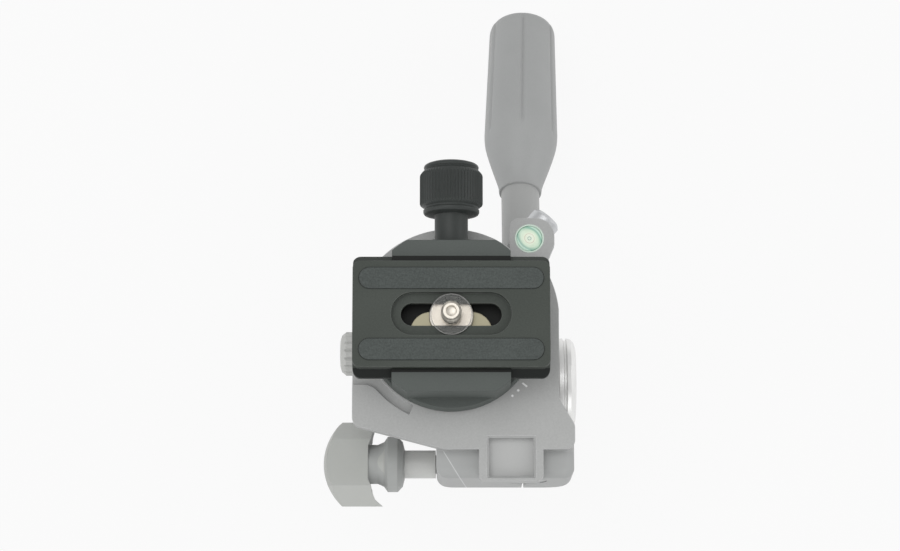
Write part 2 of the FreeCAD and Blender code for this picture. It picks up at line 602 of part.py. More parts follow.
# ---- side lock: a flat six-sided knob whose screw closes the platform's slit ----

def make_side_lock():
    outward = {"axis": Vector(0, 1, 0), "angle": "-90"}
    screw = turned("side_lock_screw", [
        ("0", "-36"), ("lock_screw - 0.6", "-36"), ("lock_screw", "-35.4"), ("lock_screw", "0"),
        ("lock_shank", "0"), ("lock_shank", "22"), ("0", "22")],
        at=("block_left - gap", "side_lock_y", "side_lock_z"), **outward)
    knob = new_body("side_lock_knob")
    wings = polygon(knob, "six_sides", "XY_Plane", "0", [
        ("wing_thick", "-wing_flat"), ("wing_thick", "wing_flat"), ("0", "wing_reach"),
        ("-wing_thick", "wing_flat"), ("-wing_thick", "-wing_flat"), ("0", "-wing_reach")])
    prism = pad(knob, wings, "wing_length")
    ridges = picked_edges(prism, lambda edge: runs_along(edge, Vector(0, 0, 1)))
    dress(knob, "Fillet", "ridges", prism, ridges, "0.8")
    groove(knob, "dome", [
        ("1.5", "wing_length", "dome_radius"), ("1.5", "wing_length + 1"),
        ("wing_reach + 2", "wing_length + 1"), ("wing_reach + 2", "wing_length - 9.2")])
    groove(knob, "finger_hollow", [
        ("6.3", "-1"), ("wing_reach + 0.7", "-1"), ("wing_reach + 0.7", "-0.4"), ("11.8", "3.4"),
        ("8.4", "5.6"), ("6.3", "5.6")])
    revolve(knob, "collar", [
        ("0", "-6"), ("lock_shank + 0.4", "-6"), ("7.2", "-5.4"), ("8.9", "-3.8"),
        ("8.9", "-0.6"), ("7.2", "0.6"), ("6.3", "2.6"), ("6.3", "6.5"), ("0", "6.5")])
    solid_of(knob, "SubtractiveCylinder", "bore", {"Radius": "lock_shank", "Height": "12"},
             ("0", "0", "-6"))
    place(knob, ("wing_start", "side_lock_y", "side_lock_z"), **outward)
    return [screw, knob]


# ---- swivel lock: a plain round knob on a level radial screw ----

def make_swivel_lock():
    start = "swivel_knob_start"
    end = "swivel_knob_end"
    axis_foot = ("0", "0", "swivel_lock_z")
    knob = turned("swivel_lock_knob", [
        ("swivel_screw", start), ("swivel_knob_radius - 1", start),
        ("swivel_knob_radius - 1", start + " + 1.2"), ("swivel_knob_radius", start + " + 1.8"),
        ("swivel_knob_radius", end + " - 1"), ("swivel_knob_radius - 1", end), ("0", end),
        ("0", start + " + 6"), ("swivel_screw", start + " + 6")], at=axis_foot, **RADIAL)
    screw = turned("swivel_lock_screw", [
        ("0", "spindle_radius + gap"), ("swivel_screw - 0.4", "spindle_radius + gap"),
        ("swivel_screw", "spindle_radius + gap + 0.4"), ("swivel_screw", start + " + 6"),
        ("0", start + " + 6")], at=axis_foot, **RADIAL)
    return [knob, screw]


# ---- clamp: turns on its spindle and grips the plate's dovetail ----

def round_off(label, body):
    """Trim a clamp piece to the round of the clamp disc."""
    cylinder_tool = doc.addObject("Part::Cylinder", label + "_round")
    cylinder_tool.setExpression("Radius", bound("disc_clamp_radius"))
    cylinder_tool.setExpression("Height", bound("jaw_top"))
    trimmed = doc.addObject("Part::MultiCommon", label)
    trimmed.Label = label
    trimmed.Shapes = [body, cylinder_tool]
    doc.recompute()
    return trimmed


def make_clamp():
    washer = ring("swivel_washer", "spindle_radius + fit", "20", "platform_top",
                  "disc_bottom - gap")
    block = new_body("clamp_block")
    section = polygon(block, "section", "YZ_Plane", "-jaw_half", [
        ("-jaw_outer", "disc_top - 1"), ("jaw_outer - 7.2", "disc_top - 1"),
        ("jaw_outer - 7.2", "table_top - fit"), ("-plate_half_foot - fit", "table_top - fit"),
        ("-plate_half_foot - fit", "table_top + foot_thick"),
        ("-plate_half_top - fit", "flare_top"), ("-plate_half_top - fit", "jaw_top"),
        ("-jaw_outer", "jaw_top")])
    pad(block, section, "jaw_half * 2")
    disc = solid_of(block, "AdditiveCylinder", "disc",
                    {"Radius": "disc_clamp_radius", "Height": "disc_top - disc_bottom"},
                    ("0", "0", "disc_bottom"))
    rim = picked_edges(disc, lambda edge: isinstance(edge.Curve, Part.Circle)
                       and edge.Curve.Radius > 27 and edge.CenterOfMass.z > size("disc_top") - 0.1)
    dress(block, "Chamfer", "disc_rim", disc, rim, "0.6")
    solid_of(block, "SubtractiveCylinder", "spindle_seat",
             {"Radius": "spindle_radius", "Height": "4"}, ("0", "0", "disc_bottom - 1"))
    cylinder(block, "screw_bore", "clamp_screw_radius + fit", "25", ("0", "-4", "clamp_screw_z"),
             ALONG_Y, cut=True)
    for side in ("-pin_offset", "pin_offset"):
        cylinder(block, "pin_hole" + side.strip("pin_offset"), "pin_radius", "20",
                 (side, "4", "clamp_screw_z"), ALONG_Y, cut=True)
    spindle = turned("swivel_spindle", [
        ("0", "swivel_boss_bottom - gap"), ("spindle_radius", "swivel_boss_bottom - gap"),
        ("spindle_radius", "disc_bottom + 3"), ("0", "disc_bottom + 3")])
    end_washer = ring("swivel_end_washer", "0", "spindle_radius + 3", "swivel_boss_bottom - gap - 1.2",
                      "swivel_boss_bottom - gap")
    end_screw = turned("swivel_end_screw", [
        ("0", "swivel_boss_bottom - 3.7"), ("3.2", "swivel_boss_bottom - 3.7"),
        ("3.8", "swivel_boss_bottom - 3.1"), ("3.8", "swivel_boss_bottom - gap - 1.2"),
        ("0", "swivel_boss_bottom - gap - 1.2")])
    pins = [ring(f"guide_pin_{number}", "0", "pin_radius", "0", "17",
                 at=(side, "4", "clamp_screw_z"), axis=ALONG_Y["axis"], angle=ALONG_Y["angle"])
            for number, side in enumerate(("-pin_offset", "pin_offset"), start=1)]
    return [washer, round_off("clamp_base", block), spindle, end_washer, end_screw,
            group("clamp_guide_pins", pins)]


def make_jaw():
    jaw = new_body("jaw_block")
    section = polygon(jaw, "section", "YZ_Plane", "-jaw_half", [
        ("jaw_outer - 7.2 + gap", "disc_top + gap"), ("jaw_outer", "disc_top + gap"),
        ("jaw_outer", "jaw_top"), ("plate_half_top + fit", "jaw_top"),
        ("plate_half_top + fit", "flare_top"), ("plate_half_foot + fit", "table_top + foot_thick"),
        ("plate_half_foot + fit", "table_top - fit"),
        ("jaw_outer - 7.2 + gap", "table_top - fit")])
    pad(jaw, section, "jaw_half * 2")
    cylinder(jaw, "screw_bore", "clamp_screw_radius + fit", "12", ("0", "14", "clamp_screw_z"),
             ALONG_Y, cut=True)
    for side in ("-pin_offset", "pin_offset"):
        cylinder(jaw, "pin_hole" + side.strip("pin_offset"), "pin_radius + fit", "12",
                 (side, "14", "clamp_screw_z"), ALONG_Y, cut=True)
    return [round_off("clamp_jaw", jaw)]


def make_clamp_knob():
    where = {"at": ("0", "0", "clamp_screw_z"), "axis": ALONG_Y["axis"], "angle": ALONG_Y["angle"]}
    knob = turned("clamp_knob", [
        ("clamp_screw_radius", "jaw_outer + gap"), ("5.5", "jaw_outer + gap"), ("5.2", "25.5"),
        ("5.2", "31.9"), ("7.9", "31.9"), ("8.7", "32.8"), ("8.7", "34.6"),
        ("clamp_knob_radius", "36"), ("clamp_knob_radius", "45.6"), ("8.7", "47.4"),
        ("8.6", "48.6"), ("7.2", "49.5"), ("0", "49.9"), ("0", "38"), ("clamp_screw_radius", "38")],
        **where)
    notch = solid_of(knob, "SubtractiveBox", "notch", {"Length": "2", "Width": "2", "Height": "16"},
                     ("clamp_knob_radius - 0.45", "0", "33"), angle="-45")
    round_pattern(knob, notch, 40)
    screw = turned("clamp_screw", [
        ("0", "-3"), ("clamp_screw_radius - 0.5", "-3"), ("clamp_screw_radius", "-2.5"),
        ("clamp_screw_radius", "38"), ("0", "38")], **where)
    return [knob, screw]


# ---- camera plate with its screw ----

def stadium(half, radius):
    """The outline of a slot with round ends, along X round the origin."""
    straight = f"{half} - {radius}"
    back = f"0 - {half} + {radius}"
    return [(back, f"0 - {radius}", radius), (straight, f"0 - {radius}"), (straight, radius, radius),
            (back, radius)]


def make_plate():
    plate = new_body("camera_plate")
    section = polygon(plate, "section", "YZ_Plane", "-plate_half_length", [
        ("-plate_half_foot", "table_top"), ("plate_half_foot", "table_top"),
        ("plate_half_foot", "table_top + foot_thick"), ("plate_half_top", "flare_top"),
        ("plate_half_top", "plate_top"), ("-plate_half_top", "plate_top"),
        ("-plate_half_top", "flare_top"), ("-plate_half_foot", "table_top + foot_thick")])
    bar = pad(plate, section, "plate_half_length * 2")
    corners = picked_edges(bar, lambda edge: runs_along(edge, Vector(0, 0, 1)))
    dress(plate, "Fillet", "corners", bar, corners, "2.4")
    under = polygon(plate, "under", "XY_Plane", "table_top", [
        ("-pocket_half_length", "-pocket_half_width"), ("pocket_half_length", "-pocket_half_width"),
        ("pocket_half_length", "pocket_half_width"), ("-pocket_half_length", "pocket_half_width")])
    pocket(plate, under, "web_bottom - table_top", other_way=True)
    recess = polygon(plate, "recess", "XY_Plane", "plate_top",
                     stadium("recess_half", "recess_radius"))
    pocket(plate, recess, "plate_top - web_top")
    slot = polygon(plate, "slot", "XY_Plane", "plate_top", stadium("slot_half", "slot_radius"))
    pocket(plate, slot, "plate_top - web_bottom + 1")
    pads = []
    for number, side in enumerate(("-1", "1"), start=1):
        shape = [(point[0], f"{side} * (pad_in + pad_out) / 2 + ({point[1]})", *point[2:])
                 for point in stadium("pad_half", "(pad_out - pad_in) / 2")]
        pocket(plate, polygon(plate, f"pad_seat_{number}", "XY_Plane", "plate_top", shape), "0.8")
        strip = new_body(f"plate_pad_{number}")
        pad(strip, polygon(strip, "shape", "XY_Plane", "plate_top - 0.8", shape), "0.8 + pad_proud")
        pads.append(strip)
    return [plate, group("plate_pads", pads)]


def make_camera_screw():
    washer = ring("camera_washer", "screw_neck", "6.4", "web_top + 0.1", "web_top + 0.9")
    screw = turned("camera_screw", [
        ("0", "table_top + 0.9"), ("3.5", "table_top + 0.9"), ("3.5", "web_bottom - 1.4"),
        ("6.85", "web_bottom - 1.4"), ("6.85", "web_bottom - 0.2"),
        ("screw_neck", "web_bottom - 0.2"), ("screw_neck", "web_top + 1"),
        ("screw_radius", "web_top + 1"), ("screw_radius", "screw_top - 0.7"),
        ("screw_radius - 0.7", "screw_top"), ("1.6", "screw_top"), ("1.6", "screw_top - 1.4"),
        ("0", "screw_top - 1.4")])
    finger = new_body("finger_ring")
    outline = polygon(finger, "outline", "XY_Plane", "table_top + 1", [
        ("-6.3", "1.5"), ("-12.6", "-4.6", "6.3"), ("-7", "-10.6", "8"), ("7", "-10.6", "11"),
        ("12.6", "-4.6", "8"), ("6.3", "1.5", "6.3"), ("6", "4.4", "6.5"), ("-6", "4.4", "7.5")])
    pad(finger, outline, "1.2")
    pocket(finger, circles(finger, "hole", "XY_Plane", "table_top + 2.2", [("0", "0")], "3.5"), "1.2")
    hollow = polygon(finger, "hollow", "XY_Plane", "table_top + 2.2", [
        ("-9.6", "-5.2"), ("-5.6", "-8.2", "6"), ("5.6", "-8.2", "12"), ("9.6", "-5.2", "6")])
    pocket(finger, hollow, "1.2")
    return [washer, screw, finger]


# ---- check every object, then write each piece to its own file ----

pieces = (make_base() + make_pan() + make_pan_lock() + make_tilt() + make_side_shaft() + make_handle()
          + make_platform() + make_bubble() + make_side_lock() + make_swivel_lock() + make_clamp()
          + make_jaw() + make_clamp_knob() + make_plate() + make_camera_screw())
doc.recompute()
for thing in doc.Objects:
    if "Invalid" in thing.State or "Error" in thing.State:
        raise RuntimeError(thing.Name + " failed")
for piece in pieces:
    if piece.Shape.isNull() or not piece.Shape.isValid():
        raise RuntimeError(piece.Label + " has no valid shape")
os.makedirs("parts", exist_ok=True)
for piece in pieces:
    piece.Shape.exportStep(f"parts/{piece.Label}.step")
print(len(pieces), "pieces written")
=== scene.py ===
import math

import bpy
from mathutils import Matrix, Vector


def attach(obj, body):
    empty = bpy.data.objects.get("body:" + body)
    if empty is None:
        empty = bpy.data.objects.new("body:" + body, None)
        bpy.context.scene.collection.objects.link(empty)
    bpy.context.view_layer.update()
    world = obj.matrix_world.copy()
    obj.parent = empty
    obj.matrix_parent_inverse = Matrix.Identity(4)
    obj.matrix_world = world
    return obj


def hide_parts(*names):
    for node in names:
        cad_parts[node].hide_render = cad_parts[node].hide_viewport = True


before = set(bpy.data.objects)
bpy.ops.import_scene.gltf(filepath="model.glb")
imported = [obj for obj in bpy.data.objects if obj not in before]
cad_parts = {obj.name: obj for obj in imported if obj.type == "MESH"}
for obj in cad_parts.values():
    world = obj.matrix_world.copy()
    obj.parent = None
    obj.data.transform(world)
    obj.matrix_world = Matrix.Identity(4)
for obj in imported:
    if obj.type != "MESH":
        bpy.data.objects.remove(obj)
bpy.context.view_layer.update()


# The table, the lamps and the camera. The head stands on a large white sheet under soft lamps,
# seen almost from straight above, a little from the front. Nothing here belongs to the head.

class Wire:
    """One socket of a material's nodes. Sums written with wires add the Math nodes they need."""

    def __init__(self, tree, socket=None):
        self.tree = tree
        self.socket = socket

    def node(self, kind, settings=None, sockets=None, out=0):
        """Add a node: its settings first, then the numbers, colours or wires of its sockets."""
        made = self.tree.nodes.new(kind)
        for name, value in (settings or {}).items():
            if name == "stops":
                for place, colour in value[1:-1]:
                    made.color_ramp.elements.new(place)
                for stop, (place, colour) in zip(made.color_ramp.elements, value):
                    stop.position = place
                    stop.color = (*colour, 1)
            else:
                setattr(made, name, value)
        for name, value in (sockets or {}).items():
            if isinstance(value, Wire):
                self.tree.links.new(value.socket, made.inputs[name])
            else:
                made.inputs[name].default_value = value
        return Wire(self.tree, made.outputs[out])

    def maths(self, operation, *others):
        return self.node("ShaderNodeMath", {"operation": operation}, dict(enumerate((self, *others))))

    def __add__(self, other):
        return self.maths("ADD", other)

    def __sub__(self, other):
        return self.maths("SUBTRACT", other)

    def __rsub__(self, other):
        return self * -1 + other

    def __mul__(self, other):
        return self.maths("MULTIPLY", other)

    def __truediv__(self, other):
        return self.maths("DIVIDE", other)

    def __gt__(self, other):
        return self.maths("GREATER_THAN", other)

    def __lt__(self, other):
        return self.maths("LESS_THAN", other)

    __radd__ = __add__
    __rmul__ = __mul__


def new_finish(name, **even):
    """A material with its even values set, and the wire of places on the head, in metres."""
    material = bpy.data.materials.new(name)
    material.use_nodes = True
    shader = material.node_tree.nodes["Principled BSDF"]
    for socket, value in even.items():
        shader.inputs[socket.replace("_", " ")].default_value = value
    return material, Wire(material.node_tree).node("ShaderNodeTexCoord", out="Object")


def feed(material, **varying):
    """Join wires to the material's own shader."""
    shader = material.node_tree.nodes["Principled BSDF"]
    for socket, wire in varying.items():
        material.node_tree.links.new(wire.socket, shader.inputs[socket.replace("_", " ")])


def cover(material, share, other):
    """Show another shader over the material's own, by a share from 0 to 1."""
    tree = material.node_tree
    own = Wire(tree, tree.nodes["Principled BSDF"].outputs[0])
    mixed = share.node("ShaderNodeMixShader", sockets={0: share, 1: own, 2: other})
    tree.links.new(mixed.socket, tree.nodes["Material Output"].inputs["Surface"])


sheet_half = 3.0
sheet_corners = [(-1, -1), (1, -1), (1, 1), (-1, 1)]
backdrop_white = (0.965, 0.965, 0.965, 1)
sheet_glow = 0.93
sheet_mesh = bpy.data.meshes.new("white_sheet")
sheet_mesh.from_pydata([(across * sheet_half, deep * sheet_half, 0) for across, deep in sheet_corners],
                       [], [(0, 1, 2, 3)])
sheet = bpy.data.objects.new("white_sheet", sheet_mesh)
bpy.context.scene.collection.objects.link(sheet)
paper, paper_place = new_finish("white_paper", Base_Color=(0.9, 0.9, 0.9, 1), Roughness=0.9)
seen = paper_place.node("ShaderNodeLightPath", out="Is Camera Ray")
for ray in ("Is Glossy Ray", "Is Transmission Ray"):
    seen = seen.maths("MAXIMUM", paper_place.node("ShaderNodeLightPath", out=ray))
cover(paper, seen * sheet_glow, paper_place.node("ShaderNodeEmission", sockets={"Color": backdrop_white}))
sheet_mesh.materials.append(paper)

room_strength = 0.64
world = bpy.data.worlds.new("soft_room")
bpy.context.scene.world = world
world.use_nodes = True
room = world.node_tree.nodes["Background"]
room.inputs["Color"].default_value = backdrop_white
looked_at = Wire(world.node_tree).node("ShaderNodeLightPath", out="Is Camera Ray")
world.node_tree.links.new((looked_at * (1 - room_strength) + room_strength).socket,
                          room.inputs["Strength"])
head_middle = Vector((0, 0, 0.06))


def add_lamp(name, place, power, width):
    """A square soft lamp that shines at the middle of the head."""
    lamp = bpy.data.lights.new(name, "AREA")
    lamp.energy = power
    lamp.size = width
    holder = bpy.data.objects.new(name, lamp)
    holder.location = place
    holder.rotation_euler = (Vector(place) - head_middle).to_track_quat("Z", "Y").to_euler()
    bpy.context.scene.collection.objects.link(holder)


add_lamp("lamp_above", (-0.25, 0.10, 0.95), 2.5, 0.7)
add_lamp("lamp_left", (-0.9, -0.35, 0.55), 1.6, 0.6)
add_lamp("lamp_front", (0.4, -0.9, 0.6), 1.6, 0.7)
add_lamp("lamp_right", (0.9, 0.2, 0.5), 1.6, 0.6)

looking = Vector((0, 0.1908, -0.9816))
upward = Vector((0, 0.9816, 0.1908))
rightward = Vector((1, 0, 0))
plate_middle = Vector((0, 0, 0.106))
camera_distance = 0.8
camera_place = plate_middle - looking * camera_distance - rightward * 0.0004 + upward * 0.01159
camera = bpy.data.objects.new("camera", bpy.data.cameras.new("camera"))
camera.data.lens = 104.64
camera.data.sensor_width = 36
camera_turn = Matrix((rightward, upward, -looking)).transposed().to_4x4()
camera.matrix_world = Matrix.Translation(camera_place) @ camera_turn
bpy.context.scene.collection.objects.link(camera)
bpy.context.scene.camera = camera
bpy.context.scene.view_settings.view_transform = "Standard"


# The base: an aluminium turning with a powder coat, a rubber ring under it that grips the tripod,
# and a steel insert with a 3/8 inch thread in the middle. Three black socket screws hold the steel
# flange down on its hub, inside the pan housing.

mm = 0.001
inch = 25.4
edge_round = 0.3
# How strongly edges are painted paler, as painted highlight and rubbed wear, and how much paler.
casting_edge_highlight_wear = 26
highlight_wear_lightening = 1.76
sharp_from = math.radians(40)


def noise(place, size, detail=2.0, rough=0.5):
    """Soft lumps of about a size in millimetres, from 0 to 1."""
    return place.node("ShaderNodeTexNoise", sockets={
        "Vector": place, "Scale": 1 / (size * mm), "Detail": detail, "Roughness": rough})


def along(place, way):
    """How far a place lies along a direction, in millimetres."""
    return place.node("ShaderNodeVectorMath", {"operation": "DOT_PRODUCT"},
                      {0: place, 1: [part / mm for part in way]}, out=1)


def coordinates(place):
    """A place as three wires in millimetres: to the right, to the back and up."""
    return [along(place, way) for way in ((1, 0, 0), (0, 1, 0), (0, 0, 1))]


def from_middle(right, back, middle=(0, 0)):
    """How far a place lies from an upright line through a middle, in millimetres."""
    away = [right - middle[0], back - middle[1]]
    return (away[0] * away[0] + away[1] * away[1]).maths("SQRT")


def tint(share, first, second):
    """A colour between two, by a share from 0 to 1."""
    return share.node("ShaderNodeMix", {"data_type": "RGBA"}, {0: share, 6: first, 7: second}, out=2)


def relief(height, depth):
    """A surface relief of a depth in millimetres, over edges that are a little rounded."""
    rounded = height.node("ShaderNodeBevel", {"samples": 4}, {"Radius": edge_round * mm})
    return height.node("ShaderNodeBump", sockets={
        "Height": height, "Distance": depth * mm, "Normal": rounded})


def pale_edges_highlight_wear(place, highlight_wear_amount, reach=0.32):
    """Where edges are painted paler in patches, as painted highlight and rubbed wear: the corners that a
    small rounding would take off.
    """
    rounded = place.node("ShaderNodeBevel", {"samples": 4}, {"Radius": reach * mm})
    straight = place.node("ShaderNodeNewGeometry", out="Normal")
    alike = place.node("ShaderNodeVectorMath", {"operation": "DOT_PRODUCT"},
                       {0: rounded, 1: straight}, out=1)
    return ((1 - alike) * highlight_wear_amount).maths("MINIMUM", 1) * noise(place, 2.5, 2)


def shade_of(colour, factor):
    """A colour made lighter or darker, with its alpha."""
    return (*[part * factor for part in colour], 1)


def coated(name, colour, grain, depth, roughness=0.5, specular=0.4, contrast=0.28, highlight_wear_amount=0):
    """Powder coat or anodising: fine lumps in colour and relief, a little uneven all over. Its edges
    may be painted paler, as painted highlight and rubbed wear."""
    material, place = new_finish(name, Specular_IOR_Level=specular)
    lumps = noise(place, grain, 3, 0.65)
    patches = noise(place, 14, 2)
    share = lumps * 0.8 + patches * 0.2
    coat = tint(share, shade_of(colour, 1 - contrast), shade_of(colour, 1 + contrast))
    if highlight_wear_amount:
        coat = tint(pale_edges_highlight_wear(place, highlight_wear_amount), coat, shade_of(colour, highlight_wear_lightening))
    feed(material, Base_Color=coat, Roughness=roughness - 0.12 + lumps * 0.24, Normal=relief(lumps, depth))
    return material


def metal(name, colour, roughness, streak=(1, 1, 1), scratch=0.02):
    """Bare metal with the fine streaks that its tool left along one way."""
    material, place = new_finish(name, Metallic=1.0)
    stretched = place.node("ShaderNodeVectorMath", {"operation": "MULTIPLY"}, {0: place, 1: streak})
    lines = noise(stretched, 0.25, 3, 0.7)
    feed(material, Base_Color=tint(lines, shade_of(colour, 0.88), shade_of(colour, 1.12)),
         Roughness=roughness - 0.08 + lines * 0.16, Normal=relief(lines, scratch))
    return material


def moulded(name, colour, grain, depth, roughness=0.7, specular=0.3):
    """Moulded rubber or plastic with a fine even grain."""
    material, place = new_finish(name, Specular_IOR_Level=specular)
    lumps = noise(place, grain, 2, 0.6)
    patches = noise(place, 9, 2)
    feed(material, Base_Color=tint(lumps * 0.6 + patches * 0.4, shade_of(colour, 0.88),
                                   shade_of(colour, 1.12)),
         Roughness=roughness - 0.06 + patches * 0.12, Normal=relief(lumps, depth))
    return material


def dress(material, *names):
    """Give a material to CAD pieces, which already have the right shape and place."""
    for name in names:
        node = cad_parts[name]
        for index in range(len(node.data.materials)):
            node.data.materials[index] = material


def skin(name, rings, closed):
    """A mesh through rings of points. It ends in flat faces, or closed on itself as a tube."""
    count = len(rings[0])
    faces = []
    for number in range(len(rings) if closed else len(rings) - 1):
        first = count * number
        second = count * ((number + 1) % len(rings))
        for index in range(count):
            following = (index + 1) % count
            faces.append((first + index, first + following, second + following, second + index))
    if not closed:
        faces.append(tuple(range(count - 1, -1, -1)))
        faces.append(tuple(range(count * (len(rings) - 1), count * len(rings))))
    mesh = bpy.data.meshes.new(name)
    mesh.from_pydata([point for ring in rings for point in ring], [], faces)
    mesh.shade_smooth()
    mesh.set_sharp_from_angle(angle=sharp_from)
    piece = bpy.data.objects.new(name, mesh)
    bpy.context.scene.collection.objects.link(piece)
    return piece


def turned_piece(name, path, foot, way, shape, count, closed=False):
    """A piece turned on a lathe: a path of radius, height and share of the shape, in millimetres.
    The shape adds to the radius, by the angle round the axis and the height along it."""
    way = Vector(way).normalized()
    side = Vector((0, 0, 1)).cross(way)
    side = side.normalized() if side.length > 0.1 else Vector((1, 0, 0))
    up = way.cross(side)
    rings = []
    for radius, height, share in path:
        ring = []
        for step in range(count):
            angle = 2 * math.pi * step / count
            reach = radius + (share * shape(angle, height) if share else 0)
            ring.append((Vector(foot) + way * height
                         + (side * math.cos(angle) + up * math.sin(angle)) * reach) * mm)
        rings.append(ring)
    return skin(name, rings, closed)


def fit(piece, material, body, slot, *stands_for):
    """Finish a piece: its material, the body it moves with, and the CAD pieces it stands for."""
    piece.data.materials.append(material)
    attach(piece, body)
    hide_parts(*stands_for)


def thread_in(pitch, depth):
    """The shape of a screw thread that reaches inward from a piece's full radius."""
    def shape(angle, height):
        return -depth * abs(((height / pitch - angle / (2 * math.pi)) % 1) * 2 - 1)
    return shape


casting_grey = (0.41, 0.415, 0.41)
# The casting's edges are painted paler: painted highlight and rubbed wear.
casting = coated("grey_powder_coat", casting_grey, 0.45, 0.05, contrast=0.2, highlight_wear_amount=casting_edge_highlight_wear)
black_rubber = moulded("black_rubber", (0.03, 0.03, 0.03), 0.5, 0.03)
steel = metal("turned_steel", (0.6, 0.6, 0.58), 0.3)
black_screws = metal("blackened_screws", (0.06, 0.06, 0.06), 0.4)
dress(casting, "base_plate")
dress(black_rubber, "base_pad")
dress(steel, "pan_flange")
dress(black_screws, "pan_flange_screws")
insert_path = [(7.9, 0, 0), (8, 0.1, 0), (8, 9.9, 0), (7.9, 10, 0), (4.86, 10, 0), (4.76, 9.9, 0)]
insert_path += [(4.76, 9.7 - 0.198 * step, 1) for step in range(46)]
insert_path += [(4.9, 0.5, 0.2), (5.3, 0.05, 0), (5.45, 0, 0)]
tripod_thread = turned_piece("tripod_thread", insert_path, (0, 0, 0), (0, 0, 1),
                             thread_in(inch / 16, 0.6), 64, closed=True)
fit(tripod_thread, steel, "root", "steel", "tripod_insert")


# The pan housing: a powder coated casting that turns on the base, closed from below by a steel
# retainer. The steel trunnion in its pedestal carries the tilt body and, outside, a polished disc.

acetal = moulded("white_acetal", (0.7, 0.7, 0.67), 0.4, 0.005, 0.4)
polished = metal("polished_disc", (0.84, 0.84, 0.83), 0.36, (1, 0.06, 0.06), 0.003)
dress(casting, "pan_housing")
dress(steel, "pan_retainer", "trunnion_shaft", "tilt_spacer")
dress(acetal, "tilt_friction_washer", "pan_brake_shoe")
dress(polished, "tilt_disc")


# The pan lock: a small knob moulded in the same pale grey as the large one, with notches for the
# fingers, on a steel screw that pushes the brake shoe.

pale_grey = (0.50, 0.505, 0.49)
knob_plastic = moulded("pale_moulded_plastic", pale_grey, 0.3, 0.01, 0.5)
dress(knob_plastic, "pan_lock_knob")
dress(steel, "pan_lock_screw")


# The tilt body: a powder coated casting, split so that it clamps the trunnion. The side shaft is
# steel, and a flush disc with a black screw keeps the platform on it.

dress(casting, "tilt_body", "side_shaft_washer")
dress(steel, "side_shaft")
dress(black_screws, "side_shaft_screw")


# The handle: a grey tube round a steel rod, whose thread closes the split clamp. The long grip is
# moulded rubber with six shallow grooves for the fingers. It is pushed over the tube's end and sits
# a little askew on it.

handle_drop = math.radians(21.25)
handle_foot = (23, 14, 57.5)
handle_way = (0, math.cos(handle_drop), -math.sin(handle_drop))
grip_start = 41
grip_lean = 0.0245
groove_step = math.pi / 3
groove_depth = 0.62
groove_half_width = 0.05


def finger_groove(angle, height):
    """Six grooves along the grip, the first on top."""
    from_groove = (angle - math.pi / 2 + groove_step / 2) % groove_step - groove_step / 2
    return -groove_depth * math.exp(-(from_groove / groove_half_width) ** 2)


grip_path = [(3, 41.2, 0), (6.6, 40.6, 0), (7.0, 40.8, 0), (7.1, 41.4, 0), (7.25, 43, 0),
             (7.8, 45, 0), (8.75, 48, 0), (9.75, 51.2, 0), (10.7, 54.4, 0), (11.5, 57.4, 0),
             (11.9, 59.2, 0), (12.12, 60.7, 0), (12.19, 61.4, 0.15), (12.25, 62.1, 0.5),
             (12.28, 62.8, 0.85), (12.3, 64, 1), (12.25, 66, 1), (12.2, 68, 1)]
grip_path += [(12.2 - 0.95 * step / 12, 68 + 38 * step / 12, 1) for step in range(1, 13)]
grip_path += [(11.1, 107.0, 0.8), (10.8, 108.0, 0.4), (10.15, 108.9, 0.1), (9.1, 109.6, 0),
              (7.6, 110.1, 0), (5, 110.35, 0), (1, 110.35, 0)]
grey_tube = coated("grey_tube", (0.375, 0.38, 0.375), 0.3, 0.002, 0.42, contrast=0.08)
grip_rubber = moulded("grip_rubber", (0.355, 0.362, 0.36), 0.35, 0.008, 0.5, 0.5)
grip_way = (Vector(handle_way) + Vector((grip_lean, 0, 0))).normalized()
grip_foot = Vector(handle_foot) + (Vector(handle_way) - grip_way) * grip_start
grip = turned_piece("grip", grip_path, grip_foot, grip_way, finger_groove, 216)
fit(grip, grip_rubber, "handle", "grey_rubber", "handle_grip")
dress(steel, "handle_rod")
dress(acetal, "handle_washer")
dress(grey_tube, "handle_stem")


# The platform: one powder coated casting. Its slab is grainy, while the block in front, which
# clamps the side shaft, is smoother and a little darker, with a pale painted highlight line along
# its boss. Its edges are painted paler, as painted highlight and rubbed wear. A white line and two
# white dots beside the clamp's disc mark the swivel's angle.

block_back = -39.15
block_top = 80.2
block_grey = (0.37, 0.378, 0.375, 1)
highlight_line_way = (0.8505, 0.5214, 0.0689)
highlight_line_offset = -16.98
highlight_line_half_width = 0.13
highlight_line_end = 8
highlight_line_grey = (0.58, 0.59, 0.59, 1)
window_floor = 80.8
window_front = -47.35
window_middle = 18.7
window_half_width = 6.95
window_grey = (0.52, 0.525, 0.52, 1)
platform_highlight_wear_grey = (0.72, 0.73, 0.73, 1)
marked_height = 83.9
line_angle = math.radians(-39.2)
line_start = 28.7
line_end = 30.6
line_half_width = 0.28
dot_angles = (math.radians(-44.4), math.radians(-49.3))
dot_reach = 29.3
dot_radius = 0.4
mark_white = (0.85, 0.85, 0.85, 1)
platform_coat, place = new_finish("platform_coat", Specular_IOR_Level=0.4)
right, back, height = coordinates(place)
lumps = noise(place, 0.65, 3, 0.7)
smooth = (back < block_back) * (height < block_top)
share = noise(place, 12, 2) * 0.25 + lumps * (0.75 - smooth * 0.6) + smooth * 0.3
coat = tint(share, shade_of(casting_grey, 0.82), shade_of(casting_grey, 1.18))
coat = tint(smooth * 0.8, coat, block_grey)
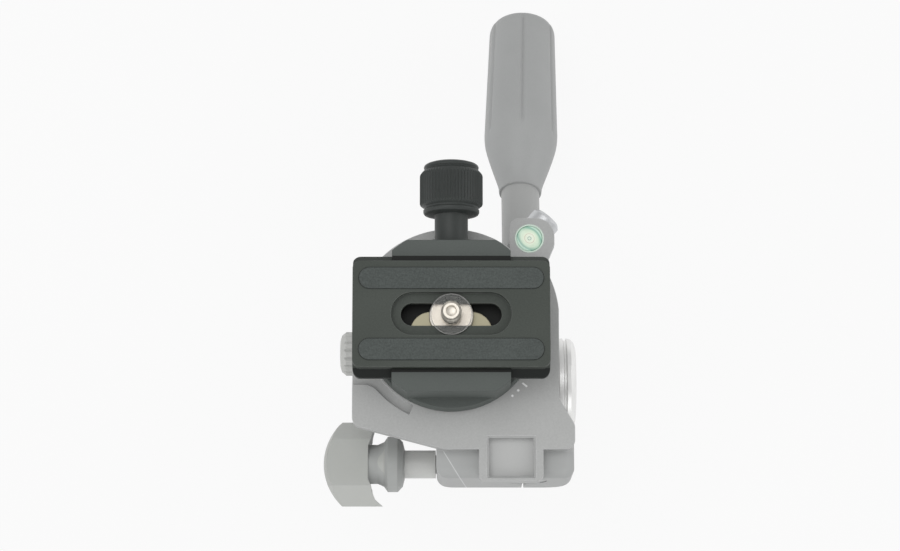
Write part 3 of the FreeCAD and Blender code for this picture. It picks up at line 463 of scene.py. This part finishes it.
# A pale painted highlight line along the boss, on the smooth block only.
highlight_line = (along(place, highlight_line_way) - highlight_line_offset).maths("ABSOLUTE") < highlight_line_half_width
coat = tint(highlight_line * smooth * (right < highlight_line_end), coat, highlight_line_grey)
window = ((height - window_floor).maths("ABSOLUTE") < 0.1) * (back > window_front)
window = window * ((right - window_middle).maths("ABSOLUTE") < window_half_width)
coat = tint(window * 0.7, coat, window_grey)
# Paler edges: painted highlight and rubbed wear.
coat = tint(pale_edges_highlight_wear(place, casting_edge_highlight_wear), coat, platform_highlight_wear_grey)
outward = along(place, (math.cos(line_angle), math.sin(line_angle), 0))
sideways = along(place, (-math.sin(line_angle), math.cos(line_angle), 0))
mark = (outward > line_start) * (outward < line_end) * (sideways.maths("ABSOLUTE") < line_half_width)
for angle in dot_angles:
    dot_middle = (dot_reach * math.cos(angle), dot_reach * math.sin(angle))
    mark = mark.maths("MAXIMUM", from_middle(right, back, dot_middle) < dot_radius)
mark = mark * (height > marked_height)
feed(platform_coat, Base_Color=tint(mark, coat, mark_white),
     Roughness=0.42 + lumps * 0.2, Normal=relief(lumps * (1 - smooth * 0.85), 0.045))
dress(platform_coat, "platform")
dress(acetal, "swivel_washer")


# The round level: a cup pressed into the platform's ear and filled with green liquid under a clear
# lens. The liquid's dark rim is painted shade, drawn as an oval. A thin brown ring printed on the
# lens lies round the bubble.

level_middle = (24.7, 28.0)
level_radius = 4.1
level_bend = 0.03
mint_cup = moulded("mint_cup", (0.62, 0.75, 0.65), 0.3, 0.0, 0.12, 0.6)
level, place = new_finish("level_liquid", Roughness=0.08, Specular_IOR_Level=0.6)
right, back, height = coordinates(place)
reach = from_middle(right, back, level_middle) / level_radius
reach = reach * (1 + (right - level_middle[0]) * (back - level_middle[1]) * level_bend)
# The dark rim near the cup's wall is painted shade; the brown ring is print.
liquid = reach.node("ShaderNodeValToRGB", {"stops": [
    (0.0, (0.80, 0.92, 0.76)), (0.09, (0.74, 0.88, 0.72)), (0.13, (0.22, 0.34, 0.29)),
    (0.17, (0.84, 0.93, 0.77)), (0.33, (0.88, 0.95, 0.78)), (0.37, (0.62, 0.56, 0.44)),
    (0.41, (0.86, 0.95, 0.76)), (0.64, (0.76, 0.93, 0.74)), (0.8, (0.36, 0.60, 0.47)),
    (0.88, (0.30, 0.54, 0.44)), (0.94, (0.58, 0.82, 0.68)), (1.0, (0.60, 0.80, 0.68))]}, {0: reach})
feed(level, Base_Color=liquid)
dress(mint_cup, "bubble_cup")
dress(level, "bubble_lens")


# The side lock: a six-sided knob of pale rubber with a domed end, a hollow for the fingertips
# behind it and a turned collar. Its sloping facets are painted lighter as painted light, and the
# hollow and the collar a darker grey, which in the hollow is painted shade. Its smooth painted shank
# goes into the platform's block.

knob_middle = (-40.2, 54.5)
hollow_face = -26.8
hollow_half_height = 6.3
hollow_slant = (0.718, 0.696)
hollow_reach = 9.75
collar_end = -21.3
facet_edge = 7.5
knob_dark = (0.39, 0.40, 0.38, 1)
knob_light = (0.49, 0.50, 0.48, 1)
hollow_grey = (0.36, 0.37, 0.365, 1)
knob_rubber, place = new_finish("knob_rubber", Specular_IOR_Level=0.35)
right, back, height = coordinates(place)
lumps = noise(place, 0.3, 2, 0.6)
wide = (back - knob_middle[0]).maths("ABSOLUTE")
high = (height - knob_middle[1]).maths("ABSOLUTE")
slanted = wide * hollow_slant[0] + high * hollow_slant[1]
# The hollow and the collar get a darker grey: painted shade in the hollow.
hollow = (right > hollow_face) * (high < hollow_half_height) * (slanted < hollow_reach)
hollow = hollow.maths("MAXIMUM", right > collar_end)
# Random mottle, and painted light that makes the sloping facets lighter.
mottle_and_lit_facets = noise(place, 9, 2) * 0.42 + lumps * 0.28 + (wide > facet_edge) * 0.5
tone = tint(mottle_and_lit_facets, knob_dark, knob_light)
feed(knob_rubber, Base_Color=tint(hollow * 0.8, tone, hollow_grey),
     Roughness=0.42 + lumps * 0.12, Normal=relief(lumps, 0.006))
knob_shank = coated("knob_shank", (0.56, 0.565, 0.55), 0.3, 0.002, 0.42, contrast=0.08)
dress(knob_rubber, "side_lock_knob")
dress(knob_shank, "side_lock_screw")


# The swivel lock: a plain turned knob with a satin face, on a level steel screw that bears on the
# clamp's spindle.

satin_knob = metal("satin_knob", (0.62, 0.63, 0.64), 0.42, (1, 1, 0.1), 0.004)
dress(satin_knob, "swivel_lock_knob")
dress(steel, "swivel_lock_screw")


# The clamp: a blasted and black anodised block with a round disc, turning on a steel spindle. Two
# steel pins and the screw guide its moving jaw. The grooves that grip the plate, and what lies between
# them under it, are painted nearly black as shade.

seat_front = -17.7
seat_back = 18.6
seat_bottom = 97.6
seat_shade_black = (0.010, 0.011, 0.010, 1)
jaw_dark = (0.072, 0.080, 0.076, 1)
jaw_light = (0.112, 0.126, 0.118, 1)
dark_anodised, place = new_finish("dark_anodised", Specular_IOR_Level=0.2)
right, back, height = coordinates(place)
grain = noise(place, 0.5, 3, 0.65)
mottle = grain * 0.7 + noise(place, 14) * 0.3
jaw_tone = tint(mottle, jaw_dark, jaw_light)
# Painted shade: the grooves round the plate and the table under it are made nearly black.
seat_shade = (back < seat_back) * (back > seat_front) * (height > seat_bottom)
feed(dark_anodised, Base_Color=tint(seat_shade, jaw_tone, seat_shade_black),
     Roughness=0.42 + grain * 0.16, Normal=relief(grain, 0.01))
dress(dark_anodised, "clamp_base", "clamp_jaw")
dress(steel, "swivel_spindle", "swivel_end_washer", "clamp_guide_pins", "clamp_screw")
dress(black_screws, "swivel_end_screw")


# The clamp knob: black anodised, with a fine straight knurl between two bevels, a domed cap, a
# plain lip and a thin neck. It is pressed on the steel screw that draws the moving jaw in.

knob_axis_height = 95
knurl_ribs = 60
knurl_depth = 0.42


def straight_knurl(angle, height):
    """Ribs along the knob, rounded on top and narrow between."""
    return -knurl_depth * (0.5 - 0.5 * math.cos(knurl_ribs * angle)) ** 0.6


dark_knob = coated("dark_knob", (0.042, 0.047, 0.045), 0.2, 0.003, 0.42, 0.25, 0.1)
knob_path = [(2.6, 24.0, 0), (5.35, 23.95, 0), (5.5, 24.1, 0), (5.35, 24.8, 0), (5.2, 25.6, 0),
             (5.2, 32.7, 0), (5.3, 32.95, 0), (7.6, 33.05, 0), (8.45, 33.3, 0), (8.75, 33.8, 0),
             (8.75, 34.5, 0), (8.4, 34.9, 0), (8.5, 35.4, 0), (9.3, 35.9, 0.1), (9.75, 36.3, 0.8),
             (9.85, 36.7, 1), (9.85, 40.7, 1), (9.85, 45.4, 1), (9.75, 45.75, 0.8), (9.3, 46.4, 0.1),
             (8.75, 47.0, 0), (8.4, 47.2, 0), (8.2, 47.45, 0), (8.3, 47.75, 0), (8.55, 47.95, 0),
             (8.6, 48.3, 0), (8.4, 48.75, 0), (7.9, 49.1, 0), (6.9, 49.45, 0), (5.2, 49.7, 0),
             (3, 49.85, 0), (1, 49.9, 0)]
clamp_knob = turned_piece("knurled_knob", knob_path, (0, 0, knob_axis_height), (0, 1, 0),
                          straight_knurl, 480)
fit(clamp_knob, dark_knob, "clamp_knob", "dark_knob", "clamp_knob")


# The camera plate: black anodised aluminium, with its flanks and everything below its top painted
# dark as shade, darkest at the front, a countersunk slot for the screw and two strips of grained
# rubber, with a dark line where they meet their seats. A clear washer with a frosted rim keeps the
# screw in its slot.

pad_middle = 11.05
pad_round = 3.25
pad_half = 28.3 - pad_round
seat_line = 0.22
flank_top = 102.6
front_edge = -16.3
shade_black = (0.010, 0.012, 0.011, 1)
plate_black = (0.032, 0.038, 0.032, 1)
plate_grey = (0.086, 0.096, 0.086, 1)
plate_highlight_wear_grey = (0.19, 0.20, 0.19, 1)
plate_edge_highlight_wear = 22
plate_dark, place = new_finish("dark_plate", Specular_IOR_Level=0.2)
right, back, height = coordinates(place)
grain = noise(place, 0.5, 3, 0.65)
mottle = grain * 0.6 + noise(place, 22, 1) * 0.4
plate_tone = tint(mottle, plate_black, plate_grey)
# Painted shade: below the top face, and most on the front flank.
flank_shade = (height < flank_top) * (0.35 + (back < front_edge) * 0.65)
past_end = (right.maths("ABSOLUTE") - pad_half).maths("MAXIMUM", 0)
from_seat = (from_middle(past_end, back.maths("ABSOLUTE"), (0, pad_middle)) - pad_round).maths("ABSOLUTE")
shade = flank_shade.maths("MAXIMUM", (from_seat < seat_line) * 0.85)
plate_tone = tint(shade, plate_tone, shade_black)
# Paler edges: painted highlight and rubbed wear.
feed(plate_dark, Base_Color=tint(pale_edges_highlight_wear(place, plate_edge_highlight_wear, 0.3), plate_tone, plate_highlight_wear_grey),
     Roughness=0.44 + grain * 0.16, Normal=relief(grain, 0.008))
pad_rubber = coated("pad_rubber", (0.078, 0.088, 0.084), 0.55, 0.06, 0.8, 0.15, 0.62)
dress(plate_dark, "camera_plate")
dress(pad_rubber, "plate_pads")
clear_face = 6.15
frost_grey = (0.45, 0.45, 0.44, 1)
clear, place = new_finish("clear_plastic", Base_Color=(0.97, 0.96, 0.95, 1), IOR=1.3,
                          Transmission_Weight=1.0, Specular_IOR_Level=0.4)
right, back, height = coordinates(place)
feed(clear, Roughness=0.03 + noise(place, 2) * 0.06)
frosted = place.node("ShaderNodeBsdfDiffuse", sockets={"Color": frost_grey})
cover(clear, (from_middle(right, back) > clear_face) * 0.45, frosted)
dress(clear, "camera_washer")


# The camera screw: turned steel with a quarter inch thread, a waist and a flange under it and a
# round hollow in its end. A bent finger ring turns it from below.

bright = metal("bright_steel", (0.70, 0.66, 0.59), 0.42)
ring_steel = metal("ring_steel", (0.318, 0.296, 0.21), 0.42, scratch=0.004)
screw_path = [(1, 98.9, 0), (3.3, 98.9, 0), (3.5, 99.1, 0), (3.5, 100.9, 0), (6.55, 100.9, 0),
              (6.85, 101.2, 0), (6.85, 101.8, 0), (6.55, 102.1, 0), (2.7, 102.1, 0),
              (2.6, 102.2, 0), (2.6, 105.1, 0), (2.7, 105.2, 0), (3.1, 105.25, 0.2)]
screw_path += [(3.175, 105.35 + 0.125 * step, 1) for step in range(40)]
screw_path += [(2.9, 110.5, 0.5), (2.45, 111, 0), (1.65, 111, 0), (1.55, 110.8, 0),
               (1.55, 109.8, 0), (1.3, 109.65, 0), (0.3, 109.6, 0)]
camera_screw = turned_piece("quarter_inch_screw", screw_path, (0, 0, 0), (0, 0, 1),
                            thread_in(inch / 20, 0.45), 48)
fit(camera_screw, bright, "camera_screw", "bright_steel", "camera_screw")
dress(ring_steel, "finger_ring")
